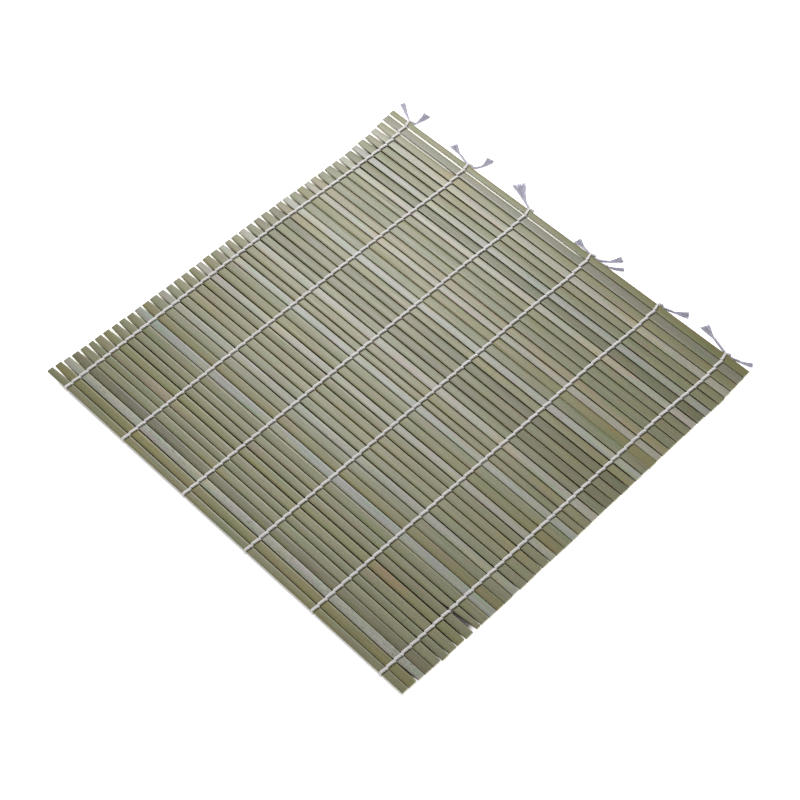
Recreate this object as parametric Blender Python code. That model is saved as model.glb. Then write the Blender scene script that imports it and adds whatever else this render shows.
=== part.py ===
"""Sushi rolling mat: 48 flat green bamboo slats twined together with six cotton cords, lying flat.

X runs along the slats and +Z is up. Slat 1 lies at the +Y edge, where each cord ends in a knot with frayed
tails, and slat 48 at the -Y edge, round which each cord is doubled. Sizes are in millimetres up to the
point where a mesh is made, which is in metres.
"""

import random
from collections import namedtuple

import bmesh
import bpy
import numpy as np
from mathutils import Vector

MM = 0.001

# Slats
SLAT_COUNT = 48
SLAT_THICKNESS = 1.5
SLAT_GAP = 0.72
USUAL_WIDTH = 4.36
OTHER_WIDTHS = (
    # width, the slats that are this wide
    (4.80, (2,)),
    (4.68, (35,)),
    (4.50, (3, 8, 11, 12, 15, 16, 27, 28)),
    (4.25, (32, 41, 44, 47)),
    (4.13, (4, 5, 10, 13, 18, 22, 23, 24, 30, 46)),
    (4.02, (34, 40)),
    (3.78, (1, 7, 9, 14, 17, 29, 39)),
    (3.60, (25, 26, 48)),
    (3.36, (43,)),
)
FIRST_SLAT_TAPER = 0.65  # slat 1 is this much narrower at its left end and wider at its right
SHOULDER_IN = 0.42  # the rounding of a slat's two upper edges, across
SHOULDER_DOWN = 0.30  # the same, down
MID_STATION = 50.0  # a slat bends a little here, on either side of its middle
HALF_SPAN = 120.0  # where the strays below are measured, from the middle
END_UNEVENNESS = 0.18

# Strands
RUN_HEIGHT = 0.95
RUN_HALF_WIDTH = 0.66  # on the side that lies on the slat
RUN_OUTER_HALF_WIDTH = 0.40  # on the side that faces away from it
SIDE_OFFSET = 0.46  # the two strands cross beside each other in a gap
LEG_HALF_WIDTH = 0.35
LEG_THICKNESS = 0.20
DIP = 0.35  # the run over a slat is this much lower at its ends
CLEARANCE = 0.30
LOOP_THICKNESS = 0.70
STRAND_WANDER = 0.10

# Knots and frayed tails
KNOT_SIZE = Vector((2.7, 2.2, 2.2))
KNOT_SEGMENTS = 8
KNOT_RINGS = 6
KNOT_FLAT = 0.35  # the knot is flat below this height
TAIL_ROOT_IN = 0.5  # a tail starts this far from the knot's middle
TAIL_ROOT_FAN = 1.0
TAIL_ROOT_WIDTH = 0.42
TAIL_TIP_WIDTH = 0.22
TAIL_HEIGHT = 0.50
TAIL_TIP_HEIGHT = 0.24
TAIL_STATIONS = 4

SLAT_BOTTOM = RUN_HEIGHT + CLEARANCE
SLAT_TOP = SLAT_BOTTOM + SLAT_THICKNESS
OVER_BOTTOM = SLAT_TOP + CLEARANCE
SEED = 48

SlatRow = namedtuple("SlatRow", "slat left_end right_end left_stray right_stray")
# Where the slats' ends reach in X, and how far each end strays in Y from the slat's middle
SLAT_ROWS = (
    SlatRow(1, -120.0, 120.4, 0.35, -0.35),
    SlatRow(2, -119.6, 120.7, 0.50, -0.54),
    SlatRow(5, -117.4, 121.5, 0.00, -0.25),
    SlatRow(9, -116.3, 121.3, -0.60, -0.65),
    SlatRow(14, -117.2, 121.2, -0.15, -1.00),
    SlatRow(16, -117.4, 121.2, 0.15, -0.30),
    SlatRow(20, -118.0, 121.2, 0.50, -0.80),
    SlatRow(24, -118.1, 121.3, -0.20, -1.30),
    SlatRow(29, -118.2, 121.3, -0.50, -0.75),
    SlatRow(34, -118.3, 121.1, -0.60, -0.60),
    SlatRow(38, -118.8, 121.0, 0.00, 0.30),
    SlatRow(41, -119.4, 120.8, -0.50, -0.35),
    SlatRow(44, -119.5, 120.8, -0.40, -0.80),
    SlatRow(48, -120.2, 120.7, 0.00, -0.10),
)

EndTaper = namedtuple("EndTaper", "slat start loss")
# Slats whose lower edge runs in towards the right end, from start, by loss at the very end
END_TAPERS = (EndTaper(39, 100.0, 1.9), EndTaper(46, 107.0, 0.8))

CordRow = namedtuple("CordRow", "slat cord_1 cord_2 cord_3 cord_4 cord_5 cord_6")
# Where the cords lie in X as they pass these slats
CORD_ROWS = (
    CordRow(0.5, -108.2, -65.3, -22.0, 19.6, 64.0, 106.2),
    CordRow(4, -105.6, -63.5, -20.8, 21.0, 64.7, 107.5),
    CordRow(10, -106.0, -64.6, -21.8, 19.8, 63.5, 106.2),
    CordRow(20, -107.9, -65.1, -21.9, 20.1, 63.8, 106.3),
    CordRow(30, -107.8, -65.4, -22.2, 19.8, 63.5, 106.4),
    CordRow(48, -107.5, -65.6, -22.7, 19.5, 63.0, 106.0),
)
CORD_COUNT = 6

Tail = namedtuple("Tail", "cord bend_x bend_y tip_x tip_y spread strands")
# Frayed ends on the surface: bend and tip from the knot's middle in X and the mat's edge in Y
TAILS = (
    Tail(1, -6.5, 4.0, -14.1, 8.4, 2.2, 3),
    Tail(1, 2.2, 6.0, 1.4, 11.9, 2.6, 3),
    Tail(2, -8.0, 2.8, -17.0, 6.0, 3.0, 3),
    Tail(2, 5.4, 3.4, 4.1, 12.6, 2.4, 3),
    Tail(3, -7.0, 3.4, -18.0, 10.8, 4.6, 3),
    Tail(4, -6.0, 2.0, -13.1, 3.7, 2.4, 3),
    Tail(4, 6.5, 0.6, 11.6, 10.4, 1.8, 2),
    Tail(4, 7.6, -1.4, 16.6, 6.0, 1.4, 2),
    Tail(5, 6.4, 2.2, 13.6, 6.6, 2.2, 3),
    Tail(6, -9.0, 3.6, -20.0, 7.3, 3.0, 3),
    Tail(6, 5.4, 1.6, 12.1, 5.1, 2.0, 3),
)

BAMBOO_ROUGHNESS = 0.48
COTTON_ROUGHNESS = 0.95
COTTON_COLOUR = (0.80, 0.77, 0.69)
SAGE = (0.336, 0.341, 0.190)
OTHER_TONES = (
    # colour, the slats that have it
    ((0.470, 0.470, 0.330), (4, 7, 9, 14, 17, 23, 26, 29, 34, 37, 46)),
    ((0.270, 0.245, 0.085), (1, 15, 28, 36, 41, 47)),
    ((0.400, 0.330, 0.200), (13,)),
    ((0.380, 0.365, 0.290), (2,)),
    ((0.210, 0.215, 0.125), (8, 19, 21, 45)),
)


def clear_scene():
    for obj in list(bpy.data.objects):
        bpy.data.objects.remove(obj, do_unlink=True)


def material(name, colour, roughness):
    made = bpy.data.materials.new(name)
    made.use_nodes = True
    shader = made.node_tree.nodes["Principled BSDF"]
    shader.inputs["Base Color"].default_value = (*colour, 1.0)
    shader.inputs["Roughness"].default_value = roughness
    shader.inputs["Metallic"].default_value = 0.0
    return made


def of_slat(table, slat, usual):
    """The value that the table gives this slat, or the usual one."""
    return next((value for value, slats in table if slat in slats), usual)


def between(rows, slat, column):
    """A column's value at any slat or gap, straight between the table's rows."""
    return float(np.interp(slat, [row.slat for row in rows], [getattr(row, column) for row in rows]))


def loft(name, rings, finish):
    """One closed mesh object through rings of equal length, with a flat cap at each end."""
    mesh = bmesh.new()
    loops = [[mesh.verts.new(Vector(point) * MM) for point in ring] for ring in rings]
    sides = len(rings[0])
    for first, second in zip(loops, loops[1:]):
        for side in range(sides):
            after = (side + 1) % sides
            mesh.faces.new((first[side], first[after], second[after], second[side]))
    mesh.faces.new(reversed(loops[0]))
    mesh.faces.new(loops[-1])
    return as_object(name, mesh, finish)


def as_object(name, mesh, finish):
    bmesh.ops.recalc_face_normals(mesh, faces=mesh.faces)
    data = bpy.data.meshes.new(name)
    mesh.to_mesh(data)
    mesh.free()
    obj = bpy.data.objects.new(name, data)
    bpy.context.scene.collection.objects.link(obj)
    data.materials.append(finish)
    return obj


def lay_out_slats():
    """For each slat, its stations along X as (x, upper edge's y, lower edge's y)."""
    chance = random.Random(SEED)
    widths = [of_slat(OTHER_WIDTHS, slat, USUAL_WIDTH) for slat in range(1, SLAT_COUNT + 1)]
    depth = sum(widths) + SLAT_GAP * (SLAT_COUNT - 1)
    edge = depth / 2
    slats = []
    for number, width in enumerate(widths, 1):
        middle = edge - width / 2
        edge -= width + SLAT_GAP
        left = between(SLAT_ROWS, number, "left_end") + chance.uniform(-END_UNEVENNESS, END_UNEVENNESS)
        right = between(SLAT_ROWS, number, "right_end") + chance.uniform(-END_UNEVENNESS, END_UNEVENNESS)
        taper = next((row for row in END_TAPERS if row.slat == number), None)
        places = sorted({left, -MID_STATION, MID_STATION, right} | ({taper.start} if taper else set()))
        stations = []
        for x in places:
            column = "left_stray" if x < 0 else "right_stray"
            y = middle + between(SLAT_ROWS, number, column) * abs(x) / HALF_SPAN
            half = width / 2
            if number == 1:
                half += FIRST_SLAT_TAPER / 2 * x / HALF_SPAN
            loss = np.interp(x, [taper.start, right], [0, taper.loss]) if taper else 0.0
            stations.append((x, y + half, y - half + float(loss)))
        slats.append(stations)
    return slats


def edges_at(stations, x):
    """The y of a slat's upper and lower edge at x."""
    places, upper, lower = zip(*stations)
    return float(np.interp(x, places, upper)), float(np.interp(x, places, lower))


def gap_middle(slats, number, x):
    """The y halfway across the gap below this slat."""
    return (edges_at(slats[number - 1], x)[1] + edges_at(slats[number], x)[0]) / 2


def slat_ring(x, upper, lower):
    """A slat's section: square below, with its two upper edges rounded off."""
    shoulder = SLAT_TOP - SHOULDER_DOWN
    return (
        (x, upper, SLAT_BOTTOM),
        (x, lower, SLAT_BOTTOM),
        (x, lower, shoulder),
        (x, lower + SHOULDER_IN, SLAT_TOP),
        (x, upper - SHOULDER_IN, SLAT_TOP),
        (x, upper, shoulder),
    )


def build_slats(slats):
    made = []
    for number, stations in enumerate(slats, 1):
        name = f"slat_{number:02d}"
        finish = material(name + "_bamboo", of_slat(OTHER_TONES, number, SAGE), BAMBOO_ROUGHNESS)
        made.append(loft(name, [slat_ring(*station) for station in stations], finish))
    return made


def strand_ring(centre, lean, half_height, upper_half, lower_half):
    """A strand's section. Lean moves its upper side in Y and its lower side the other way, as at a corner."""
    x, y, z = centre
    return (
        (x - upper_half, y + lean, z + half_height),
        (x + upper_half, y + lean, z + half_height),
        (x + lower_half, y - lean, z - half_height),
        (x - lower_half, y - lean, z - half_height),
    )


def corner(x, y, over, lean, half_width):
    """Where a strand turns from its run over or under a slat into the gap beside it."""
    if over:
        half_height = (RUN_HEIGHT - DIP) / 2
        return strand_ring((x, y, OVER_BOTTOM + half_height), lean, half_height, half_width, half_width)
    half_height = RUN_HEIGHT / 2
    return strand_ring((x, y, half_height), lean, half_height, half_width, half_width)


def run_middle(x, y, over):
    if over:
        halves = (RUN_OUTER_HALF_WIDTH, RUN_HALF_WIDTH)
        z = OVER_BOTTOM + RUN_HEIGHT / 2
    else:
        halves = (RUN_HALF_WIDTH, RUN_OUTER_HALF_WIDTH)
        z = RUN_HEIGHT / 2
    return strand_ring((x, y, z), 0.0, RUN_HEIGHT / 2, *halves)


def strand_rings(slats, column, over_odd, chance):
    """The rings of one strand from slat 1 to the last, over every second slat and under the others.

    It comes up out of a gap on its +X side and goes down into the next on its -X side.
    """
    rings = []
    for number, stations in enumerate(slats, 1):
        over = (number % 2 == 1) == over_odd
        side = SIDE_OFFSET if over else -SIDE_OFFSET
        lean = LEG_THICKNESS / 2 if over else -LEG_THICKNESS / 2
        x_above = between(CORD_ROWS, number - 0.5, column)
        x_middle = between(CORD_ROWS, number, column)
        x_below = between(CORD_ROWS, number + 0.5, column)
        upper, lower = edges_at(stations, x_middle)
        if number > 1:
            y = gap_middle(slats, number - 1, x_above)
            rings.append(corner(x_above + side, y, over, lean, LEG_HALF_WIDTH))
        elif over:
            rings.extend(start_over_edge(x_above + side, upper))
        else:
            middle = (x_above + side, upper, RUN_HEIGHT / 2)
            rings.append(strand_ring(middle, 0.0, RUN_HEIGHT / 2, LEG_HALF_WIDTH, LEG_HALF_WIDTH))
        wander = chance.uniform(-STRAND_WANDER, STRAND_WANDER)
        rings.append(run_middle(x_middle + wander, (upper + lower) / 2, over))
        if number < len(slats):
            y = gap_middle(slats, number, x_below)
            rings.append(corner(x_below - side, y, over, -lean, LEG_HALF_WIDTH))
        else:
            y = lower - CLEARANCE - LOOP_THICKNESS / 2
            lean = -LOOP_THICKNESS / 2 if over else LOOP_THICKNESS / 2
            rings.append(corner(x_below, y, over, lean, RUN_OUTER_HALF_WIDTH))
    return rings


def start_over_edge(x, edge):
    """The strand comes up from just above the knot and turns over the first slat's edge."""
    y = edge + CLEARANCE + LOOP_THICKNESS / 2
    half = LOOP_THICKNESS / 2
    z = KNOT_SIZE.z + CLEARANCE
    end = (
        (x - LEG_HALF_WIDTH, y + half, z),
        (x + LEG_HALF_WIDTH, y + half, z),
        (x + LEG_HALF_WIDTH, y - half, z),
        (x - LEG_HALF_WIDTH, y - half, z),
    )
    return end, corner(x, y, True, half, LEG_HALF_WIDTH)


def build_cords(slats):
    """Each cord is one length: down the mat as one strand, round the last slat, and back as the other."""
    chance = random.Random(SEED)
    finish = material("cord_cotton", COTTON_COLOUR, COTTON_ROUGHNESS)
    made = []
    for cord in range(1, CORD_COUNT + 1):
        column = f"cord_{cord}"
        down = strand_rings(slats, column, True, chance)
        back = [ring[::-1] for ring in reversed(strand_rings(slats, column, False, chance))]
        made.append(loft(column, down + back, finish))
    return made


def knot_mesh(x, edge):
    """A small round lump against the first slat's edge, flat where it rests."""
    mesh = bmesh.new()
    bmesh.ops.create_uvsphere(mesh, u_segments=KNOT_SEGMENTS, v_segments=KNOT_RINGS, radius=1.0)
    centre = Vector((x, edge + CLEARANCE + KNOT_SIZE.y / 2, KNOT_SIZE.z / 2))
    for vert in mesh.verts:
        place = vert.co * KNOT_SIZE / 2 + centre
        if place.z < KNOT_FLAT:
            place.z = 0.0
        vert.co = place * MM
    return mesh


def tail_rings(tail, strand, x, edge):
    """One strand of a frayed tail: three-sided, level on the surface, and finer towards its tip."""
    across = strand - (tail.strands - 1) / 2
    start = Vector((x, edge + CLEARANCE + KNOT_SIZE.y / 2))
    bend = Vector((x + tail.bend_x, edge + tail.bend_y))
    tip = Vector((x + tail.tip_x, edge + tail.tip_y))
    start += (bend - start).normalized() * TAIL_ROOT_IN
    rings = []
    for station in range(TAIL_STATIONS):
        t = station / (TAIL_STATIONS - 1)
        place = start * (1 - t) ** 2 + bend * 2 * t * (1 - t) + tip * t**2
        along = ((bend - start) * (1 - t) + (tip - bend) * t).normalized()
        side = Vector((-along.y, along.x))
        fan = TAIL_ROOT_FAN + t**2 * (tail.spread - TAIL_ROOT_FAN)
        place = place + side * across * fan / (tail.strands - 1)
        half = (TAIL_ROOT_WIDTH + t * (TAIL_TIP_WIDTH - TAIL_ROOT_WIDTH)) / 2
        height = TAIL_HEIGHT + t * (TAIL_TIP_HEIGHT - TAIL_HEIGHT)
        low, high = place - side * half, place + side * half
        rings.append(((*low, 0.0), (*high, 0.0), (*place, height)))
    return rings


def build_tassels(slats):
    """A knot at each cord's two ends, with its tails' roots fused into it."""
    made = []
    finish = material("tassel_cotton", COTTON_COLOUR, COTTON_ROUGHNESS)
    for cord in range(1, CORD_COUNT + 1):
        x = between(CORD_ROWS, CORD_ROWS[0].slat, f"cord_{cord}")
        edge = edges_at(slats[0], x)[0]
        knot = as_object(f"tassel_{cord}", knot_mesh(x, edge), finish)
        for number, tail in enumerate(row for row in TAILS if row.cord == cord):
            for strand in range(tail.strands):
                name = f"tail_{cord}_{number + 1}_{strand + 1}"
                helper = loft(name, tail_rings(tail, strand, x, edge), finish)
                helper.hide_render = True
                helper.display_type = "WIRE"
                made.append(helper)
                fuse = knot.modifiers.new(name, "BOOLEAN")
                fuse.operation = "UNION"
                fuse.object = helper
        made.append(knot)
    return made


def stand_on_origin(objects):
    """Puts the middle of the whole mat's footprint at the origin, with its underside at z = 0."""
    base = bpy.data.objects.new("mat_base", None)
    bpy.context.scene.collection.objects.link(base)
    points = [vert.co for obj in objects for vert in obj.data.vertices]
    low = Vector(min(point[axis] for point in points) for axis in range(3))
    high = Vector(max(point[axis] for point in points) for axis in range(3))
    base.location = (-(low.x + high.x) / 2, -(low.y + high.y) / 2, -low.z)
    for obj in objects:
        obj.parent = base


def main():
    clear_scene()
    slats = lay_out_slats()
    stand_on_origin(build_slats(slats) + build_cords(slats) + build_tassels(slats))


main()
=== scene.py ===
"""The look of a sushi rolling mat: bamboo slats, cotton twine, knots with frayed tails, and the studio."""

import math
import random
from collections import namedtuple

import bpy
import numpy as np
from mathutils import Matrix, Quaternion, Vector


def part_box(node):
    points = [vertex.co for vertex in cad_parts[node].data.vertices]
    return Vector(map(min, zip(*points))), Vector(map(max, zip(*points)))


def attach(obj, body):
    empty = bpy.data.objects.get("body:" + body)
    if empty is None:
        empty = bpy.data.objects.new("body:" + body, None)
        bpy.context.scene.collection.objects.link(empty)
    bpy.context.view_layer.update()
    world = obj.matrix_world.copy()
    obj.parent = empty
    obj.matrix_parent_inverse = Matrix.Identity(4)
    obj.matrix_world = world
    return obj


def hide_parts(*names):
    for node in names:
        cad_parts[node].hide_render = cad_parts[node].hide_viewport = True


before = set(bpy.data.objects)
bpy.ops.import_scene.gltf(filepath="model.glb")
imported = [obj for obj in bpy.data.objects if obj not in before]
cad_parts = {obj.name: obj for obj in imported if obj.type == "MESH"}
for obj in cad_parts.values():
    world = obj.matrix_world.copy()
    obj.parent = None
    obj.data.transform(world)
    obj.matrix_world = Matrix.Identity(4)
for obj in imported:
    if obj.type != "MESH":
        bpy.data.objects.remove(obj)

bl_info = {
    "name": "Sushi rolling mat",
    "version": (1, 0, 0),
    "blender": (4, 5, 0),
    "location": "3D View > Sidebar > Rolling mat",
    "description": "Green bamboo slats twined with cotton, dressed over the packed model",
    "category": "Object",
}

MM = 0.001
SEED = 48

# Tones of the slats by the record's slots: name, colour, slats
SlatTone = namedtuple("SlatTone", "slot colour slats")
NAMED_TONES = (
    SlatTone("pale_bamboo", "A5A596", (4, 7, 9, 14, 17, 23, 26, 29, 34, 37, 46)),
    SlatTone("olive_bamboo", "807D49", (1, 15, 28, 36, 41, 47)),
    SlatTone("tan_bamboo", "928A66", (13,)),
    SlatTone("grey_bamboo", "868573", (2,)),
    SlatTone("dark_bamboo", "777552", (8, 19, 21, 45)),
)
USUAL_TONE = SlatTone("green_bamboo", "84835E", ())

# How much mildew a slat shows, as short dashes and as long streaks; the others show a trace
DASHED_SLATS = {42: 0.8, 46: 1.3, 24: 0.6, 34: 0.5, 40: 0.5}
STREAKED_SLATS = {19: 0.8, 21: 0.9, 22: 0.9, 45: 1.0, 8: 0.6, 16: 0.5, 31: 0.5}

# Where a growth ring crosses a slat, in mm along X
RINGS = {12: 71.0, 18: 34.0, 25: -83.0, 43: 96.0}

Stain = namedtuple("Stain", "x reach colour")
# One stain on a slat: its middle along X and its reach in mm
STAINS = {
    3: Stain(-62.0, 14.0, "93803F"),
    24: Stain(-20.0, 26.0, "85805F"),
    41: Stain(76.0, 15.0, "97733F"),
    42: Stain(-74.0, 13.0, "A08A70"),
    45: Stain(-66.0, 46.0, "625D48"),
}

# Slats that stand further apart from the left end up to this X, in mm, as {slat above the gap: X}
OPEN_GAPS = {1: 24.0, 2: -62.0, 3: -95.0, 4: -98.0}

# The gaps before this one stand wider over the whole end reach, the others over about half of it
LONG_OPENINGS = 12

# How much painted light the last slat's outer side gets, as an open gap's side does; the rest is painted shade
OUTER_WALL_PAINTED_LIGHT = 0.5

# How far a slat's ends lie from its solid's ends, in mm along X: left, right
END_SHIFTS = {44: (-0.3, -0.5), 45: (-0.5, -0.8), 46: (-0.7, -1.1), 47: (-1.0, -1.2), 48: (-1.4, -1.4)}

Tail = namedtuple("Tail", "cord bend_x bend_y tip_x tip_y spread stem")
# Frayed ends on the surface, in mm: bend and tip from the knot's middle in X and the mat's edge in Y,
# half the width at the tip, and the share of the length that is still twisted
TAILS = (
    Tail(1, -6.5, 4.0, -14.1, 8.4, 1.2, 0.15),
    Tail(1, 2.2, 6.0, 1.4, 11.9, 2.2, 0.15),
    Tail(2, -8.0, 2.8, -17.0, 6.0, 2.2, 0.55),
    Tail(2, 5.4, 3.4, 4.1, 12.6, 2.4, 0.45),
    Tail(3, -7.0, 3.4, -18.0, 10.8, 3.6, 0.30),
    Tail(4, -6.0, 2.0, -13.1, 3.7, 2.0, 0.40),
    Tail(4, 6.5, 0.6, 11.6, 10.4, 1.8, 0.60),
    Tail(4, 7.6, -1.4, 16.6, 6.0, 0.9, 0.55),
    Tail(5, 6.4, 2.2, 13.6, 6.6, 1.8, 0.45),
    Tail(6, -9.0, 3.6, -20.0, 7.3, 2.4, 0.60),
    Tail(6, 5.4, 1.6, 12.1, 5.1, 1.0, 0.50),
)


def linear(code):
    """An sRGB hex colour as linear red, green and blue."""
    shares = [int(code[place:place + 2], 16) / 255 for place in (0, 2, 4)]
    return tuple(s / 12.92 if s <= 0.04045 else ((s + 0.055) / 1.055) ** 2.4 for s in shares)


def colour_property(name, description, code):
    return bpy.props.FloatVectorProperty(
        name=name, description=description, subtype="COLOR", size=3, min=0.0, max=1.0, default=linear(code)
    )


def length_property(name, description, millimetres):
    return bpy.props.FloatProperty(
        name=name, description=description, unit="LENGTH", subtype="DISTANCE", precision=5,
        min=0.0, default=millimetres * MM,
    )


class SlatSettings(bpy.types.PropertyGroup):
    """Sizes of a split bamboo slat's section, and how even it is."""

    top_radius: length_property("Top edge radius", "Rounding of the two upper edges", 0.22)
    bottom_radius: length_property("Lower edge radius", "Rounding of the two lower edges", 0.14)
    crown: length_property("Crown", "How far the top stands up in its middle", 0.02)
    wander: length_property("Wander", "How far the split edges stray", 0.05)
    spare: length_property("Spare width", "How much wider than its solid a slat may be on each side", 0.19)
    step: length_property("Step", "Length between sections", 3.0)
    roll: bpy.props.FloatProperty(
        name="Roll", description="How far a slat may lean about its length", subtype="ANGLE",
        default=math.radians(1.4),
    )
    tone_spread: bpy.props.FloatProperty(
        name="Tone spread", description="How much slats of one tone differ", default=0.07, min=0.0, max=0.5
    )
    end_opening: length_property("End opening", "How far an edge draws back at the left end", 0.42)
    end_reach: length_property("End reach", "How far in from the left end the gaps are wider", 11.0)
    straw: colour_property("Straw", "Inner bamboo, at the split edges and underneath", "BDB89E")


class TwineSettings(bpy.types.PropertyGroup):
    """Sizes of the three-ply cotton twine."""

    radius: length_property("Radius", "Half the twine's width as it lies on a slat", 0.78)
    flatten: bpy.props.FloatProperty(
        name="Flatten", description="Height of the pressed twine as a share of its width", default=0.72
    )
    lay: length_property("Lay length", "Length of one turn of the plies", 4.4)
    groove: bpy.props.FloatProperty(
        name="Groove", description="Depth between the plies, as a share of the radius", default=0.15
    )
    step: length_property("Step", "Length between sections", 0.4)
    cotton: colour_property("Cotton", "Undyed cotton", "FBF8F4")


class TasselSettings(bpy.types.PropertyGroup):
    """Sizes of the knots and frayed tails."""

    stem_radius: length_property("Stem radius", "Half the width of a tail before it frays", 0.72)
    knot_radius: length_property("Knot twine radius", "Half the width of the twine in a knot", 0.40)
    fibre_radius: length_property("Fibre radius", "Half the width of one frayed yarn", 0.10)
    # Painted shade: the knots and tails get a darker, violet-grey copy of the twine's cotton for the shade the
    # loose yarns cast on each other
    cotton: colour_property("Loose cotton", "Cotton of the knots and tails, in each other's shade", "CFCDDC")
    fibres: bpy.props.IntProperty(name="Fibres", description="Frayed yarns in each tail", default=110, min=1)


class StudioSettings(bpy.types.PropertyGroup):
    """The camera, floor and lights."""

    lens: bpy.props.FloatProperty(name="Lens", description="Focal length in millimetres", default=83.7)
    azimuth: bpy.props.FloatProperty(
        name="Azimuth", description="Turn of the camera round the mat", subtype="ANGLE",
        default=math.radians(46.4),
    )
    elevation: bpy.props.FloatProperty(
        name="Elevation", description="Camera's height above the horizon", subtype="ANGLE",
        default=math.radians(56.5),
    )
    tilt: bpy.props.FloatProperty(
        name="Tilt", description="Camera's turn about its own axis", subtype="ANGLE",
        default=math.radians(-1.87),
    )
    distance: length_property("Distance", "Camera to the middle of the picture", 885.3)
    key_power: bpy.props.FloatProperty(
        name="Key light", description="Power of the main light", unit="POWER", default=8.9
    )
    window_power: bpy.props.FloatProperty(
        name="Window", description="Power of the light that gives the far corner its sheen", unit="POWER",
        default=0.30,
    )
    fill_power: bpy.props.FloatProperty(
        name="Fill", description="Power of the low light beside the camera", unit="POWER", default=2.0
    )
    sky: bpy.props.FloatProperty(name="Sky", description="Strength of the even light all round", default=0.18)
    # The board's emission is painted light, masked to the mat's outline
    painted_floor_glow: bpy.props.FloatProperty(
        name="Floor glow", description="How far the white board is lit from below", default=0.9
    )


def add(tree, kind, inputs=None, **settings):
    """Adds one node with its settings. Inputs gives a socket its value, output or node."""
    node = tree.nodes.new(kind)
    for name, value in settings.items():
        setattr(node, name, value)
    for key, value in (inputs or {}).items():
        if isinstance(value, bpy.types.Node):
            value = next(output for output in value.outputs if output.enabled)
        if isinstance(value, bpy.types.NodeSocket):
            tree.links.new(value, node.inputs[key])
        else:
            node.inputs[key].default_value = value
    return node


def new_tree(name, sockets):
    """A geometry tree with these inputs, as (name, kind, default) rows. Returns it with its input node."""
    tree = bpy.data.node_groups.new(name, "GeometryNodeTree")
    tree.interface.new_socket("Geometry", in_out="INPUT", socket_type="NodeSocketGeometry")
    for label, kind, default in sockets:
        socket = tree.interface.new_socket(label, in_out="INPUT", socket_type="NodeSocket" + kind)
        if default is not None:
            socket.default_value = default
    tree.interface.new_socket("Geometry", in_out="OUTPUT", socket_type="NodeSocketGeometry")
    return tree, tree.nodes.new("NodeGroupInput")


def lines_object(name, lines, values):
    """A mesh of open lines, each a list of points. Values gives {name: [a value for each point]}."""
    data = bpy.data.meshes.new(name)
    points = [point for line in lines for point in line]
    edges = []
    first = 0
    for line in lines:
        edges += [(first + place, first + place + 1) for place in range(len(line) - 1)]
        first += len(line)
    data.from_pydata(points, edges, [])
    for label, given in values.items():
        kind, key = ("FLOAT_COLOR", "color") if np.ndim(given) == 2 else ("FLOAT", "value")
        data.attributes.new(label, kind, "POINT").data.foreach_set(key, np.array(given, np.float32).ravel())
    made = bpy.data.objects.new(name, data)
    bpy.context.scene.collection.objects.link(made)
    return made


def grown(source, tree, inputs):
    """Runs the tree on the source object and puts a plain mesh object in its place."""
    modifier = source.modifiers.new(tree.name, "NODES")
    modifier.node_group = tree
    for socket in tree.interface.items_tree:
        if socket.in_out == "INPUT" and socket.name in inputs:
            modifier[socket.identifier] = inputs[socket.name]
    bpy.context.view_layer.update()
    graph = bpy.context.evaluated_depsgraph_get()
    data = bpy.data.meshes.new_from_object(source.evaluated_get(graph))
    name = source.name
    bpy.data.objects.remove(source)
    made = bpy.data.objects.new(name, data)
    data.name = name
    bpy.context.scene.collection.objects.link(made)
    return made


def slat_stations(node):
    """A slat's (x, upper edge's y, lower edge's y), read from the underside of its solid."""
    corners = np.array([vert.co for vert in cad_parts[node].data.vertices])
    under = corners[corners[:, 2] < corners[:, 2].min() + 0.01 * MM]
    under = under[np.argsort(under[:, 0])]
    ends = [under[np.abs(under[:, 0] - x) < 0.1 * MM, 1].mean() for x in (under[0, 0], under[-1, 0])]
    middle = np.interp(under[:, 0], (under[0, 0], under[-1, 0]), ends)
    upper, lower = under[under[:, 1] > middle], under[under[:, 1] < middle]
    places = sorted({round(float(x), 5) for x in under[:, 0]})
    return [
        (x, float(np.interp(x, upper[:, 0], upper[:, 1])), float(np.interp(x, lower[:, 0], lower[:, 1])))
        for x in places
    ]


SLATS = [slat_stations(name) for name in sorted(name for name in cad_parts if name.startswith("slat_"))]
SLAT_BOTTOM, SLAT_TOP = (corner.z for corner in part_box("slat_02"))
SLAT_MIDDLE = (SLAT_BOTTOM + SLAT_TOP) / 2
CORDS = sorted(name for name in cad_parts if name.startswith("cord_"))


def edges_at(stations, x):
    """The y of a slat's upper and lower edge at x."""
    places, upper, lower = zip(*stations)
    return float(np.interp(x, places, upper)), float(np.interp(x, places, lower))


def tone_of(number):
    return next((tone for tone in NAMED_TONES if number in tone.slats), USUAL_TONE)


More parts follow.
